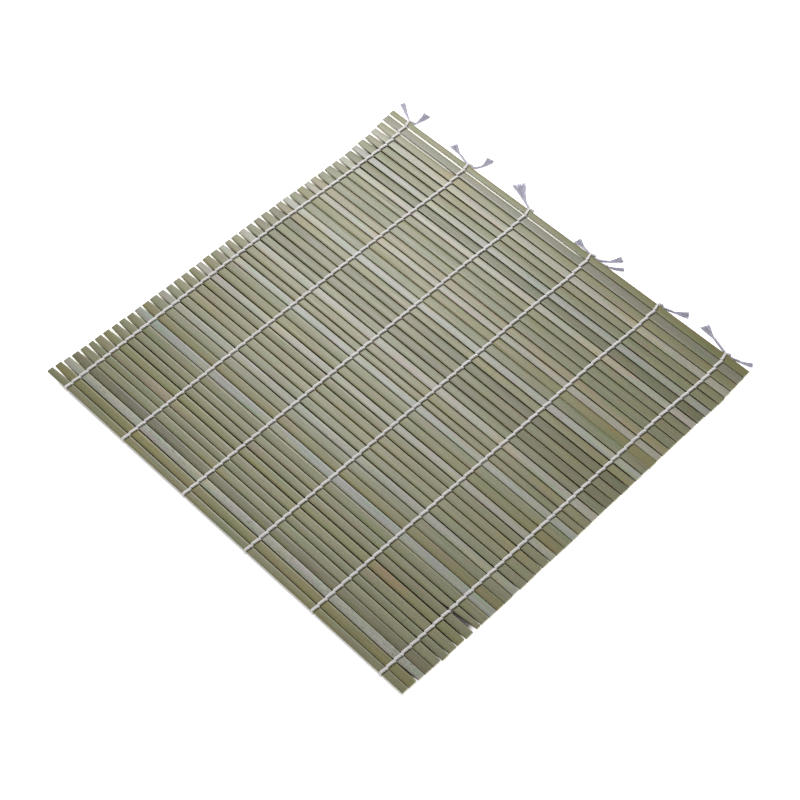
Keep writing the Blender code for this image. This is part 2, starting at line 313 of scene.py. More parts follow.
def slat_tree():
    """Sweeps a slat's rounded section along its middle line, a little uneven, marked for its material."""
    tree, given = new_tree("Split slats", (
        ("Width", "Float", 4.36 * MM),
        ("Thickness", "Float", 1.5 * MM),
        ("Top Edge Radius", "Float", 0.34 * MM),
        ("Lower Edge Radius", "Float", 0.14 * MM),
        ("Crown", "Float", 0.07 * MM),
        ("Wander", "Float", 0.05 * MM),
        ("Step", "Float", 3.0 * MM),
        ("Material", "Material", None),
    ))
    size = given.outputs

    # The section: a flat rectangle whose corners are rounded, marked with where each point is across and up
    section = add(tree, "GeometryNodeCurvePrimitiveQuadrilateral", {
        "Width": size["Width"], "Height": size["Thickness"],
    })
    section = add(tree, "GeometryNodeSubdivideCurve", {"Curve": section, "Cuts": 3})
    place = add(tree, "ShaderNodeSeparateXYZ", {0: add(tree, "GeometryNodeInputPosition")}).outputs
    out_x = add(tree, "ShaderNodeMath", {0: place["X"]}, operation="ABSOLUTE")
    out_y = add(tree, "ShaderNodeMath", {0: place["Y"]}, operation="ABSOLUTE")
    far_x = add(tree, "ShaderNodeMath", {0: size["Width"], 1: 0.49}, operation="MULTIPLY")
    far_y = add(tree, "ShaderNodeMath", {0: size["Thickness"], 1: 0.49}, operation="MULTIPLY")
    at_side = add(tree, "ShaderNodeMath", {0: out_x, 1: far_x}, operation="GREATER_THAN")
    at_face = add(tree, "ShaderNodeMath", {0: out_y, 1: far_y}, operation="GREATER_THAN")
    at_corner = add(tree, "ShaderNodeMath", {0: at_side, 1: at_face}, operation="MULTIPLY")
    is_top = add(tree, "ShaderNodeMath", {0: place["Y"], 1: 0.0}, operation="GREATER_THAN")
    rounding = add(tree, "ShaderNodeMix", {
        0: is_top, 2: size["Lower Edge Radius"], 3: size["Top Edge Radius"],
    })
    rounding = add(tree, "ShaderNodeMath", {0: rounding, 1: at_corner}, operation="MULTIPLY")
    section = add(tree, "GeometryNodeFilletCurve", {
        "Curve": section, "Count": 3, "Radius": rounding,
    }, mode="POLY")
    half = add(tree, "ShaderNodeMath", {0: size["Width"], 1: 0.5}, operation="MULTIPLY")
    across = add(tree, "ShaderNodeMath", {0: place["X"], 1: half}, operation="DIVIDE")
    for name, value in (("across", across), ("rise", place["Y"])):
        section = add(tree, "GeometryNodeStoreNamedAttribute", {
            "Geometry": section, "Name": name, "Value": value,
        }, data_type="FLOAT", domain="POINT")

    # The middle line in even steps
    line = add(tree, "GeometryNodeMeshToCurve", {"Mesh": size["Geometry"]})
    line = add(tree, "GeometryNodeResampleCurve", {"Curve": line, "Length": size["Step"]}, mode="LENGTH")
    along = add(tree, "GeometryNodeSplineParameter").outputs["Length"]
    for name, kind, value in (
        ("middle", "FLOAT_VECTOR", add(tree, "GeometryNodeInputPosition")), ("along", "FLOAT", along),
    ):
        line = add(tree, "GeometryNodeStoreNamedAttribute", {
            "Geometry": line, "Name": name, "Value": value,
        }, data_type=kind, domain="POINT")
    mesh = add(tree, "GeometryNodeCurveToMesh", {"Curve": line, "Profile Curve": section, "Fill Caps": True})

    # Each point goes to its slat's own width, crown, wander and roll
    read = {
        name: add(tree, "GeometryNodeInputNamedAttribute", {"Name": name}, data_type=kind)
        for name, kind in (
            ("across", "FLOAT"), ("rise", "FLOAT"), ("along", "FLOAT"), ("middle", "FLOAT_VECTOR"),
            ("half_width", "FLOAT"), ("number", "FLOAT"), ("roll", "FLOAT"),
        )
    }
    in_mm = add(tree, "ShaderNodeMath", {0: read["along"], 1: 1000.0}, operation="MULTIPLY")
    edge = add(tree, "ShaderNodeMath", {0: read["across"]}, operation="SIGN")
    along_edge = add(tree, "ShaderNodeCombineXYZ", {"X": in_mm, "Y": add(
        tree, "ShaderNodeMath", {0: edge, 1: 40.0}, operation="MULTIPLY")})
    edge_noise = add(tree, "ShaderNodeTexNoise", {
        "Vector": along_edge, "W": read["number"], "Scale": 1 / 24, "Detail": 3.0,
    }, noise_dimensions="4D")
    stray = add(tree, "ShaderNodeMath", {0: edge_noise, 1: 0.5}, operation="SUBTRACT")
    stray = add(tree, "ShaderNodeMath", {0: stray, 1: 4.0}, operation="MULTIPLY")
    stray = add(tree, "ShaderNodeMath", {0: stray, 1: size["Wander"]}, operation="MULTIPLY")
    out_by = add(tree, "ShaderNodeMath", {0: read["across"]}, operation="ABSOLUTE")
    stray = add(tree, "ShaderNodeMath", {0: stray, 1: out_by}, operation="MULTIPLY")
    side_y = add(tree, "ShaderNodeMath", {
        0: read["across"], 1: read["half_width"], 2: stray,
    }, operation="MULTIPLY_ADD")
    slope = add(tree, "ShaderNodeMath", {0: read["across"], 1: read["across"]}, operation="MULTIPLY")
    slope = add(tree, "ShaderNodeMath", {0: 1.0, 1: slope}, operation="SUBTRACT")
    upper = add(tree, "ShaderNodeMath", {0: read["rise"], 1: 0.0}, operation="GREATER_THAN")
    crown = add(tree, "ShaderNodeMath", {0: slope, 1: upper}, operation="MULTIPLY")
    side_z = add(tree, "ShaderNodeMath", {
        0: crown, 1: size["Crown"], 2: read["rise"],
    }, operation="MULTIPLY_ADD")
    offset = add(tree, "ShaderNodeCombineXYZ", {"Y": side_y, "Z": side_z})
    offset = add(tree, "ShaderNodeVectorRotate", {
        "Vector": offset, "Angle": read["roll"],
    }, rotation_type="X_AXIS")
    target = add(tree, "ShaderNodeVectorMath", {0: read["middle"], 1: offset}, operation="ADD")
    mesh = add(tree, "GeometryNodeSetPosition", {"Geometry": mesh, "Position": target})

    # Marks for the material: a place in mm that follows the slat, and the faces cut across it
    across_mm = add(tree, "ShaderNodeMath", {0: side_y, 1: 1000.0}, operation="MULTIPLY")
    apart = add(tree, "ShaderNodeMath", {0: read["number"], 1: 17.0}, operation="MULTIPLY")
    place_mm = add(tree, "ShaderNodeCombineXYZ", {"X": in_mm, "Y": across_mm, "Z": apart})
    facing = add(tree, "ShaderNodeSeparateXYZ", {0: add(tree, "GeometryNodeInputNormal")}).outputs["X"]
    facing = add(tree, "ShaderNodeMath", {0: facing}, operation="ABSOLUTE")
    is_cut = add(tree, "ShaderNodeMath", {0: facing, 1: 0.7}, operation="GREATER_THAN")
    for name, kind, domain, value in (
        ("place", "FLOAT_VECTOR", "POINT", place_mm), ("cut_end", "FLOAT", "FACE", is_cut),
    ):
        mesh = add(tree, "GeometryNodeStoreNamedAttribute", {
            "Geometry": mesh, "Name": name, "Value": value,
        }, data_type=kind, domain=domain)
    angle = add(tree, "GeometryNodeInputMeshEdgeAngle")
    is_sharp = add(tree, "ShaderNodeMath", {0: angle, 1: math.radians(50)}, operation="GREATER_THAN")
    mesh = add(tree, "GeometryNodeSetShadeSmooth", {
        0: mesh, "Selection": is_sharp, "Shade Smooth": False,
    }, domain="EDGE")
    mesh = add(tree, "GeometryNodeRealizeInstances", {"Geometry": mesh})
    mesh = add(tree, "GeometryNodeSetMaterial", {"Geometry": mesh, "Material": size["Material"]})
    add(tree, "NodeGroupOutput", {"Geometry": mesh})
    return tree


def stretched_noise(tree, place, length, width, detail=2.0, shift=0.0):
    """Noise in streaks of this length and width in mm, along the slats."""
    scaled = add(tree, "ShaderNodeMapping", {
        "Vector": place, "Location": (shift, shift, shift), "Scale": (1 / length, 1 / width, 1.0),
    })
    return add(tree, "ShaderNodeTexNoise", {
        "Vector": scaled, "Scale": 1.0, "Detail": detail, "Roughness": 0.55,
    })


def ramp(tree, value, start, end, low, high):
    """The value from start to end, spread over low to high."""
    return add(tree, "ShaderNodeMapRange", {0: value, 1: start, 2: end, 3: low, 4: high})


def blended(tree, share, below, above):
    """The colour below, covered by this share of the colour above."""
    return add(tree, "ShaderNodeMix", {0: share, 6: below, 7: above}, data_type="RGBA")


def bamboo_material(straw):
    """Split green bamboo, skin side up, dried and left unvarnished: a waxy skin with fine lengthwise fibres,
    paler inner wood where it was split, side walls with painted shade in the closed gaps and painted light in
    the open ones, a bright thread along some upper edges that is partly pale fibre and partly painted
    highlight, and stains, mildew and growth rings."""
    made = bpy.data.materials.new("split_green_bamboo")
    made.use_nodes = True
    tree = made.node_tree
    shader = tree.nodes["Principled BSDF"]
    read = {
        name: add(tree, "ShaderNodeAttribute", attribute_name=name).outputs["Fac"]
        for name in (
            "across", "rise", "cut_end", "rim_fibres_and_highlight", "painted_wall_shade", "dashes", "streaks", "ring_at", "stain_at",
            "stain_reach",
        )
    }
    tone = add(tree, "ShaderNodeAttribute", attribute_name="tone").outputs["Color"]
    stain = add(tree, "ShaderNodeAttribute", attribute_name="stain").outputs["Color"]
    place = add(tree, "ShaderNodeAttribute", attribute_name="place").outputs["Vector"]

    fibres = stretched_noise(tree, place, 26.0, 0.30, 4.0)
    grain = stretched_noise(tree, place, 1.4, 0.55, 3.0, 40.0)
    streaks = stretched_noise(tree, place, 60.0, 1.5, 2.0, 90.0)
    share = add(tree, "ShaderNodeMath", {
        0: ramp(tree, fibres, 0.25, 0.75, 0.86, 1.10), 1: ramp(tree, grain, 0.3, 0.7, 0.84, 1.14),
    }, operation="MULTIPLY")
    share = add(tree, "ShaderNodeMath", {
        0: share, 1: ramp(tree, streaks, 0.3, 0.7, 0.90, 1.09),
    }, operation="MULTIPLY")

    # In patches the skin has gone to straw, to a pinkish grey or a brown, or is a fresher green. Each row is
    # a patch's length and width in mm, its place in the noise, how far it goes, and what it makes of the tone
    colour = tone
    for length, width, shift, most, tint in (
        (40.0, 9.0, 7.0, 0.80, (1.06, 0.99, 0.55)),
        (22.0, 3.0, 19.0, 0.80, (1.06, 0.87, 1.04)),
        (28.0, 4.0, 53.0, 0.80, (0.76, 1.00, 0.80)),
        (4.0, 1.2, 29.0, 0.60, (1.00, 0.84, 0.88)),
        (5.0, 1.4, 67.0, 0.60, (0.82, 0.98, 0.76)),
    ):
        patch = ramp(tree, stretched_noise(tree, place, length, width, 3.0, shift), 0.50, 0.70, 0.0, most)
        tinted = add(tree, "ShaderNodeVectorMath", {0: colour, 1: tint}, operation="MULTIPLY")
        colour = blended(tree, patch, colour, tinted)

    # One stain, strongest in its middle and broken up along the fibres
    along = add(tree, "ShaderNodeSeparateXYZ", {0: place}).outputs["X"]
    from_stain = add(tree, "ShaderNodeMath", {0: along, 1: read["stain_at"]}, operation="SUBTRACT")
    from_stain = add(tree, "ShaderNodeMath", {0: from_stain}, operation="ABSOLUTE")
    from_stain = add(tree, "ShaderNodeMath", {0: from_stain, 1: read["stain_reach"]}, operation="DIVIDE")
    stained = add(tree, "ShaderNodeMath", {
        0: ramp(tree, from_stain, 0.25, 1.0, 0.85, 0.0),
        1: ramp(tree, stretched_noise(tree, place, 9.0, 1.2, 3.0, 71.0), 0.36, 0.60, 0.15, 1.0),
    }, operation="MULTIPLY")
    colour = blended(tree, stained, colour, stain)
    shade = add(tree, "ShaderNodeVectorMath", {0: colour, "Scale": share}, operation="SCALE")

    # Mildew: short dashes and long thin streaks, in parts of the slat only
    region = ramp(tree, stretched_noise(tree, place, 30.0, 14.0, 1.0, 11.0), 0.38, 0.56, 0.30, 1.0)
    dashes = ramp(tree, stretched_noise(tree, place, 3.0, 0.38, 2.0, 23.0), 0.56, 0.70, 0.0, 0.9)
    lines = ramp(tree, stretched_noise(tree, place, 22.0, 0.55, 3.0, 31.0), 0.52, 0.66, 0.0, 0.9)
    mildew = add(tree, "ShaderNodeMath", {
        0: add(tree, "ShaderNodeMath", {0: dashes, 1: read["dashes"]}, operation="MULTIPLY"),
        1: add(tree, "ShaderNodeMath", {0: lines, 1: read["streaks"]}, operation="MULTIPLY"),
    }, operation="MAXIMUM")
    mildew = add(tree, "ShaderNodeMath", {0: mildew, 1: region}, operation="MULTIPLY")
    shade = blended(tree, mildew, shade, (*linear("57543F"), 1.0))

    # The growth ring is a thin dark line across the slat
    from_ring = add(tree, "ShaderNodeMath", {0: along, 1: read["ring_at"]}, operation="SUBTRACT")
    from_ring = add(tree, "ShaderNodeMath", {0: from_ring}, operation="ABSOLUTE")
    shade = blended(tree, ramp(tree, from_ring, 0.15, 0.45, 0.55, 0.0), shade, (*linear("5C5A3E"), 1.0))

    # Pale inner wood on the rounded edges, underneath and at the cut ends; the sides get painted shade where
    # the gap beside them is closed and painted light where it is open
    out_by = add(tree, "ShaderNodeMath", {0: read["across"]}, operation="ABSOLUTE")
    wood = add(tree, "ShaderNodeVectorMath", {0: tuple(straw), "Scale": share}, operation="SCALE")
    inner = add(tree, "ShaderNodeMath", {
        0: ramp(tree, out_by, 0.86, 0.93, 0.0, 0.40), 1: ramp(tree, read["rise"], 0.0004, 0.0001, 0.0, 1.0),
    }, operation="MAXIMUM")
    inner = add(tree, "ShaderNodeMath", {0: inner, 1: read["cut_end"]}, operation="MAXIMUM")
    shade = blended(tree, inner, shade, wood)
    side = add(tree, "ShaderNodeMath", {
        0: ramp(tree, out_by, 0.985, 0.998, 0.0, 0.95), 1: ramp(tree, read["rise"], 0.0006, 0.0004, 0.0, 1.0),
    }, operation="MULTIPLY")
    painted_wall_light_and_shade = blended(tree, read["painted_wall_shade"], (*linear("F4F2EE"), 1.0), (*linear("1E1A12"), 1.0))
    shade = blended(tree, side, shade, painted_wall_light_and_shade)

    # A bright thread along the upper edge of some slats, broken here and there: partly pale split fibres,
    # partly a painted highlight where the edge faces the key light
    fibres_and_highlight = add(tree, "ShaderNodeMath", {
        0: ramp(tree, read["across"], 0.90, 0.95, 0.0, 1.0),
        1: ramp(tree, read["rise"], 0.0004, 0.0006, 0.0, 1.0),
    }, operation="MULTIPLY")
    broken = ramp(tree, stretched_noise(tree, place, 30.0, 20.0, 2.0, 83.0), 0.42, 0.56, 0.10, 0.9)
    fibres_and_highlight = add(tree, "ShaderNodeMath", {0: fibres_and_highlight, 1: broken}, operation="MULTIPLY")
    fibres_and_highlight = add(tree, "ShaderNodeMath", {0: fibres_and_highlight, 1: read["rim_fibres_and_highlight"]}, operation="MULTIPLY")
    shade = blended(tree, fibres_and_highlight, shade, (*linear("DED5A8"), 1.0))

    bump = add(tree, "ShaderNodeBump", {"Strength": 0.4, "Distance": 0.00005, "Height": fibres})
    tree.links.new(shade.outputs[2], shader.inputs["Base Color"])
    tree.links.new(ramp(tree, fibres, 0.3, 0.7, 0.34, 0.46).outputs[0], shader.inputs["Roughness"])
    tree.links.new(bump.outputs[0], shader.inputs["Normal"])
    shader.inputs["Specular IOR Level"].default_value = 0.35
    return made


def opened_stations(number, spare, openings, reaches):
    """A slat's stations as (x, upper y, lower y, how open the gap below is), with its edges drawn back where
    the gap above it and the gap below it stand wider."""
    stations = SLATS[number - 1]
    left, right = stations[0][0], stations[-1][0]
    first, last = (end + shift * MM for end, shift in zip((left, right), END_SHIFTS.get(number, (0.0, 0.0))))

    def open_share(gap, x):
        reach = reaches[gap]
        end = max(left + reach, OPEN_GAPS.get(gap, -1000.0) * MM)
        return min(1.0, max(0.0, (end - x) / reach))

    places = {first, last} | {x for x, _, _ in stations if first < x < last}
    for gap in (number - 1, number):
        places |= {left + reaches[gap] / 2, left + reaches[gap]}
        if gap in OPEN_GAPS:
            places |= {OPEN_GAPS[gap] * MM, OPEN_GAPS[gap] * MM - reaches[gap]}
    opened = []
    for x in sorted(places):
        upper, lower = edges_at(stations, x)
        below = open_share(number, x)
        if number > 1:
            upper += spare - openings[number - 1] * open_share(number - 1, x)
        if number < len(SLATS):
            lower += openings[number] * below - spare
        opened.append((x, upper, lower, below if number < len(SLATS) else OUTER_WALL_PAINTED_LIGHT))
    return opened


class RollingMatSlats(bpy.types.Operator):
    """Makes the split bamboo slats, one piece for each tone"""

    bl_idname = "rolling_mat.slats"
    bl_label = "Make the slats"

    def execute(self, context):
        settings = context.scene.mat_slats
        chance = random.Random(SEED)
        leans = [chance.uniform(-settings.roll, settings.roll) for _ in SLATS]
        lights = [1 + chance.uniform(-settings.tone_spread, settings.tone_spread) for _ in SLATS]
        warms = [1 + chance.uniform(-0.05, 0.05) for _ in SLATS]
        spares = [chance.uniform(0.2, 1.0) * settings.spare for _ in SLATS]
        # How strongly each slat shows the upper-edge thread of pale fibres and painted highlight
        rims = [chance.choice((0.15, 0.25, 0.4, 1.0)) for _ in SLATS]
        openings = [chance.uniform(0.5, 1.0) * settings.end_opening for _ in range(len(SLATS) + 1)]
        reaches = [
            settings.end_reach * (1.0 if gap < LONG_OPENINGS else chance.uniform(0.45, 0.75))
            for gap in range(len(SLATS) + 1)
        ]
        tree = slat_tree()
        finish = bamboo_material(settings.straw)
        clean = Stain(-1000.0, 1.0, USUAL_TONE.colour)
        for tone in (USUAL_TONE, *NAMED_TONES):
            numbers = [n for n in range(1, len(SLATS) + 1) if tone_of(n) is tone]
            lines = []
            values = {}
            for number in numbers:
                stations = opened_stations(number, spares[number - 1], openings, reaches)
                left = stations[0][0] / MM
                base = linear(tone.colour)
                light, warm = lights[number - 1], warms[number - 1]
                stain = STAINS.get(number, clean)
                lines.append([(x, (upper + lower) / 2, SLAT_MIDDLE) for x, upper, lower, _ in stations])
                for _, upper, lower, below in stations:
                    for name, value in (
                        ("half_width", (upper - lower) / 2),
                        ("number", number),
                        ("roll", leans[number - 1]),
                        ("rim_fibres_and_highlight", rims[number - 1]),
                        # painted shade share for the side walls: 1 where the gap below is closed, 0 where it
                        # is open
                        ("painted_wall_shade", 1 - below),
                        ("dashes", DASHED_SLATS.get(number, 0.15)),
                        ("streaks", STREAKED_SLATS.get(number, 0.15)),
                        ("ring_at", RINGS.get(number, -1000.0) - left),
                        ("stain_at", stain.x - left),
                        ("stain_reach", stain.reach),
                        ("stain", (*linear(stain.colour), 1.0)),
                        ("tone", (base[0] * light * warm, base[1] * light, base[2] * light / warm, 1.0)),
                    ):
                        values.setdefault(name, []).append(value)
            source = lines_object(tone.slot + "_slats", lines, values)
            piece = grown(source, tree, {
                "Thickness": SLAT_TOP - SLAT_BOTTOM, "Top Edge Radius": settings.top_radius,
                "Lower Edge Radius": settings.bottom_radius, "Crown": settings.crown,
                "Wander": settings.wander, "Step": settings.step, "Material": finish,
            })
            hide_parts(*[f"slat_{number:02d}" for number in numbers])
            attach(piece, "root")
        return {"FINISHED"}


def twine_group():
    """Lays three plies together along each line, as twine that is pressed flatter than round."""
    tree, given = new_tree("Laid twine", (
        ("Radius", "Float", 0.66 * MM),
        ("Flatten", "Float", 0.88),
        ("Lay", "Float", 4.4 * MM),
        ("Groove", "Float", 0.26),
        ("Step", "Float", 0.4 * MM),
    ))
    size = given.outputs
    line = add(tree, "GeometryNodeMeshToCurve", {"Mesh": size["Geometry"]})
    line = add(tree, "GeometryNodeCurveSplineType", {"Curve": line}, spline_type="CATMULL_ROM")
    line = add(tree, "GeometryNodeSetSplineResolution", {"Geometry": line, "Resolution": 8})
    line = add(tree, "GeometryNodeResampleCurve", {"Curve": line, "Length": size["Step"]}, mode="LENGTH")
    line = add(tree, "GeometryNodeSetCurveNormal", {"Curve": line}, mode="MINIMUM_TWIST")
    run = add(tree, "GeometryNodeSplineParameter").outputs["Length"]
    turns = add(tree, "ShaderNodeMath", {0: run, 1: size["Lay"]}, operation="DIVIDE")
    turns = add(tree, "ShaderNodeMath", {0: turns, 1: 2 * math.pi}, operation="MULTIPLY")
    line = add(tree, "GeometryNodeSetCurveTilt", {"Curve": line, "Tilt": turns})
    middle = add(tree, "GeometryNodeInputPosition")
    for name, kind, value in (("middle", "FLOAT_VECTOR", middle), ("run", "FLOAT", run)):
        line = add(tree, "GeometryNodeStoreNamedAttribute", {
            "Geometry": line, "Name": name, "Value": value,
        }, data_type=kind, domain="POINT")

    plies = 3
    ring = add(tree, "GeometryNodeCurvePrimitiveCircle", {"Resolution": 5 * plies, "Radius": 1.0})
    place = add(tree, "GeometryNodeInputPosition")
    parts = add(tree, "ShaderNodeSeparateXYZ", {0: place}).outputs
    around = add(tree, "ShaderNodeMath", {0: parts["Y"], 1: parts["X"]}, operation="ARCTAN2")
    lobe = add(tree, "ShaderNodeMath", {0: around, 1: plies / 2}, operation="MULTIPLY")
    lobe = add(tree, "ShaderNodeMath", {0: lobe}, operation="COSINE")
    lobe = add(tree, "ShaderNodeMath", {0: lobe}, operation="ABSOLUTE")
    depth = add(tree, "ShaderNodeMath", {0: 1.0, 1: lobe}, operation="SUBTRACT")
    depth_share = add(tree, "ShaderNodeMath", {0: depth, 1: size["Groove"]}, operation="MULTIPLY")
    share = add(tree, "ShaderNodeMath", {0: 1.0, 1: depth_share}, operation="SUBTRACT")
    pulled = add(tree, "ShaderNodeVectorMath", {0: place, "Scale": share}, operation="SCALE")
    for name, value in (("groove", depth), ("around", around)):
        ring = add(tree, "GeometryNodeStoreNamedAttribute", {
            "Geometry": ring, "Name": name, "Value": value,
        }, data_type="FLOAT", domain="POINT")
    ring = add(tree, "GeometryNodeSetPosition", {"Geometry": ring, "Position": pulled})

    squeeze = add(tree, "GeometryNodeInputNamedAttribute", {"Name": "squeeze"}, data_type="FLOAT")
    scale = add(tree, "ShaderNodeMath", {0: squeeze, 1: size["Radius"]}, operation="MULTIPLY")
    mesh = add(tree, "GeometryNodeCurveToMesh", {
        "Curve": line, "Profile Curve": ring, "Scale": scale, "Fill Caps": True,
    })
    kept = add(tree, "GeometryNodeInputNamedAttribute", {"Name": "middle"}, data_type="FLOAT_VECTOR")
    out_by = add(tree, "ShaderNodeVectorMath", {
        0: add(tree, "GeometryNodeInputPosition"), 1: kept,
    }, operation="SUBTRACT")
    press = add(tree, "ShaderNodeCombineXYZ", {"X": 1.0, "Y": 1.0, "Z": size["Flatten"]})
    pressed = add(tree, "ShaderNodeVectorMath", {0: out_by, 1: press}, operation="MULTIPLY")
    pressed = add(tree, "ShaderNodeVectorMath", {0: kept, 1: pressed}, operation="ADD")
    mesh = add(tree, "GeometryNodeSetPosition", {"Geometry": mesh, "Position": pressed})
    add(tree, "NodeGroupOutput", {"Geometry": mesh})
    return tree


def cord_tree():
    """The laid twine on its own, with its material."""
    tree, given = new_tree("Twined cord", (
        ("Radius", "Float", 0.66 * MM),
        ("Flatten", "Float", 0.88),
        ("Lay", "Float", 4.4 * MM),
        ("Groove", "Float", 0.26),
        ("Step", "Float", 0.4 * MM),
        ("Material", "Material", None),
    ))
    size = given.outputs
    twine = add(tree, "GeometryNodeGroup", node_tree=bpy.data.node_groups["Laid twine"])
    for name in ("Geometry", "Radius", "Flatten", "Lay", "Groove", "Step"):
        tree.links.new(size[name], twine.inputs[name])
    mesh = add(tree, "GeometryNodeRealizeInstances", {"Geometry": twine})
    mesh = add(tree, "GeometryNodeSetMaterial", {"Geometry": mesh, "Material": size["Material"]})
    add(tree, "NodeGroupOutput", {"Geometry": mesh})
    return tree


def cotton_material(name, cotton):
    """Undyed spun cotton twine, laid in three plies: dull and slightly fuzzy, with painted shade in the
    grooves.
    """
    made = bpy.data.materials.new(name)
    made.use_nodes = True
    tree = made.node_tree
    shader = tree.nodes["Principled BSDF"]
    groove = add(tree, "ShaderNodeAttribute", attribute_name="groove").outputs["Fac"]
    run = add(tree, "ShaderNodeAttribute", attribute_name="run").outputs["Fac"]
    around = add(tree, "ShaderNodeAttribute", attribute_name="around").outputs["Fac"]
    run_mm = add(tree, "ShaderNodeMath", {0: run, 1: 1000.0}, operation="MULTIPLY")
    # Fibres lie across the ply's own twist, some 0.15 mm apart
    slant = add(tree, "ShaderNodeMath", {0: around, 1: 1.2, 2: run_mm}, operation="MULTIPLY_ADD")
    place = add(tree, "ShaderNodeCombineXYZ", {"X": slant, "Y": around})
    fibres = add(tree, "ShaderNodeTexNoise", {"Vector": place, "Scale": 4.0, "Detail": 3.0})
    soil = add(tree, "ShaderNodeTexNoise", {
        "Vector": add(tree, "ShaderNodeTexCoord").outputs["Object"], "Scale": 60.0, "Detail": 2.0,
    })
    fibre_share = ramp(tree, fibres, 0.3, 0.7, 0.92, 1.03)
    # Painted shade: the colour darkens towards the bottom of the grooves between the plies
    painted_groove_shade = ramp(tree, groove, 0.2, 1.0, 1.0, 0.82)
    soil_share = ramp(tree, soil, 0.35, 0.7, 1.02, 0.94)
    share = add(tree, "ShaderNodeMath", {0: fibre_share, 1: painted_groove_shade}, operation="MULTIPLY")
    share = add(tree, "ShaderNodeMath", {0: share, 1: soil_share}, operation="MULTIPLY")
    colour = add(tree, "ShaderNodeVectorMath", {0: tuple(cotton), "Scale": share}, operation="SCALE")
    bump = add(tree, "ShaderNodeBump", {"Strength": 0.5, "Distance": 0.00008, "Height": fibres})
    tree.links.new(colour.outputs[0], shader.inputs["Base Color"])
    tree.links.new(bump.outputs[0], shader.inputs["Normal"])
    shader.inputs["Roughness"].default_value = 0.93
    shader.inputs["Sheen Weight"].default_value = 0.3
    return made


def cord_line(node):
    """A function that gives the cord's x at any y, read from the solid's corners in the gaps."""
    corners = np.array([vert.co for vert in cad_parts[node].data.vertices])
    middle = float(corners[:, 0].mean())
    gaps = [
        (edges_at(above, middle)[1] + edges_at(below, middle)[0]) / 2
        for above, below in zip(SLATS, SLATS[1:])
    ]
    found = []
    for y in gaps:
        near = corners[np.abs(corners[:, 1] - y) < 1.0 * MM]
        found.append(float(near[:, 0].min() + near[:, 0].max()) / 2)
    return lambda y: float(np.interp(-y, [-gap for gap in gaps], found))


RISE_OFFSET = 0.46 * MM  # where a strand comes up through a gap, beside the cord's middle
DIVE_OFFSET = -0.20 * MM  # where the other strand goes down through the same gap
OVER_CENTRE = 0.57 * MM  # the twine's middle above a slat
UNDER_CENTRE = 0.60 * MM  # the twine's middle above the floor
LOOP_OUT = 0.44 * MM
GAP_SQUEEZE = 0.56


def strand_points(x_at, over_odd):
    """One strand's points and squeezes from slat 1 to the last, over every second slat and under the rest."""
    points, squeezes = [], []
    middle_x = x_at(0.0)
    for number, stations in enumerate(SLATS, 1):
        over = (number % 2 == 1) == over_odd
        first, last = (RISE_OFFSET, DIVE_OFFSET) if over else (DIVE_OFFSET, RISE_OFFSET)
        upper, lower = edges_at(stations, middle_x)
        x = x_at((upper + lower) / 2)
        z = SLAT_TOP + OVER_CENTRE if over else UNDER_CENTRE
        z_turn = SLAT_TOP + 0.42 * MM if over else SLAT_BOTTOM - 0.42 * MM
        if number > 1:
            points.append((x + first, upper + 0.02 * MM, z_turn))
            squeezes.append(0.92)
        if number == 1 and over:
            points.append((x - 0.85 * MM, upper - 0.6 * MM, z))
            squeezes.append(0.8)
        else:
            points.append((x + first * 0.35, upper - 0.75 * MM, z))
            squeezes.append(1.0)
        points.append((x + last * 0.35, lower + 0.75 * MM, z))
        squeezes.append(1.0)
        if number < len(SLATS):
            points.append((x + last, lower - 0.02 * MM, z_turn))
            squeezes.append(0.92)
            next_upper = edges_at(SLATS[number], middle_x)[0]
            points.append((x + last, (lower + next_upper) / 2, SLAT_MIDDLE))
            squeezes.append(GAP_SQUEEZE)
        else:
            points.append((x + last * 0.6, lower - LOOP_OUT + 0.1 * MM, z_turn))
            squeezes.append(0.85)
    return points, squeezes


def cord_points(node):
    """A whole cord's points and squeezes: from the knot to the last slat, round it, and back to the knot."""
    x_at = cord_line(node)
    down, down_squeeze = strand_points(x_at, True)
    back, back_squeeze = strand_points(x_at, False)
    first_edge = edges_at(SLATS[0], x_at(0.0))[0]
    last_edge = edges_at(SLATS[-1], x_at(0.0))[1]
    x_first, x_last = x_at(first_edge), x_at(last_edge)
    start = [
        (x_first + 0.9 * MM, first_edge + 1.0 * MM, 1.2 * MM),
        (x_first + 0.1 * MM, first_edge + 1.05 * MM, 2.2 * MM),
        (x_first - 0.75 * MM, first_edge + 0.45 * MM, 2.95 * MM),
    ]
    turn = [(x_last, last_edge - LOOP_OUT, SLAT_MIDDLE)]
    end = [(x_first - 0.2 * MM, first_edge + 0.55 * MM, 0.66 * MM)]
    points = start + down + turn + back[::-1] + end
    squeezes = [0.75, 0.8, 0.8] + down_squeeze + [0.9] + back_squeeze[::-1] + [0.8]
    return points, squeezes


class RollingMatCords(bpy.types.Operator):
    """Makes the six cotton cords, each doubled round the last slat and twined through the mat"""

    bl_idname = "rolling_mat.cords"
    bl_label = "Make the cords"

    def execute(self, context):
        settings = context.scene.mat_twine
        twine_group()
        tree = cord_tree()
        finish = cotton_material("spun_cotton_twine", settings.cotton)
        for node in CORDS:
            points, squeezes = cord_points(node)
            source = lines_object(node + "_twine", [points], {"squeeze": squeezes})
            piece = grown(source, tree, {
                "Radius": settings.radius, "Flatten": settings.flatten, "Lay": settings.lay,
                "Groove": settings.groove, "Step": settings.step, "Material": finish,
            })
            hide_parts(node)
            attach(piece, "root")
        return {"FINISHED"}


